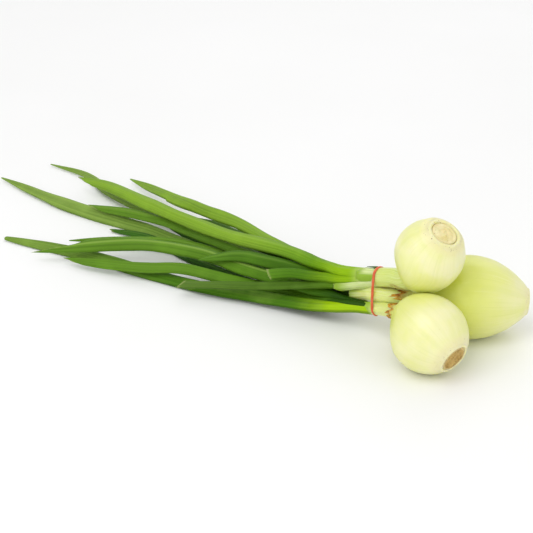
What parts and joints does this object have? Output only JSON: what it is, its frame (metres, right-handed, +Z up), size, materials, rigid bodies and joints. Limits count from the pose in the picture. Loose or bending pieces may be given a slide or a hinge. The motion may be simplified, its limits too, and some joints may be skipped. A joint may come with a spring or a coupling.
{
  "type": "spring onion bunch",
  "caption": "Spring onions with round bulbs and long hollow leaves, lying on their side and held together at the necks by a rubber band.",
  "frame": {"origin": "middle of the footprint, on the surface that the bunch lies on", "axes": "+X from the leaf tips towards the bulbs, +Y towards the side with the large back bulb, +Z up"},
  "size_m": [0.4588, 0.1486, 0.0926],
  "materials": {
    "bulb_flesh": "smooth moist bulb skin, satin, pale yellow-green with fine lengthwise veins",
    "root_plate": "dry cut root plate, matt tan with darker specks",
    "papery_skin": "torn dry outer skin, matt orange-brown",
    "leaf": "waxy leaf surface, satin, green with fine lengthwise lines, pale at its base",
    "rubber_band": "smooth soft rubber, matt orange-red"
  },
  "bodies": {
    "root": {"top_bulb": "bulb_flesh", "top_root_plate": "root_plate", "front_bulb": "bulb_flesh", "front_root_plate": "root_plate", "back_bulb": "bulb_flesh", "back_root_plate": "root_plate", "front_papery_skin": "papery_skin", "back_papery_skin": "papery_skin", "leaf_top_lower": "leaf", "leaf_top_short": "leaf", "leaf_top_middle": "leaf", "leaf_top_thin": "leaf", "leaf_top_broad": "leaf", "leaf_top_back": "leaf", "leaf_top_high": "leaf", "leaf_back_dark": "leaf", "leaf_back_long": "leaf", "leaf_back_low": "leaf", "leaf_back_over": "leaf", "leaf_back_narrow": "leaf", "leaf_back_side": "leaf", "leaf_front_long": "leaf", "leaf_front_under": "leaf", "leaf_front_keeled": "leaf", "leaf_front_inner": "leaf", "rubber_band": "rubber_band"}
  },
  "joints": []
}
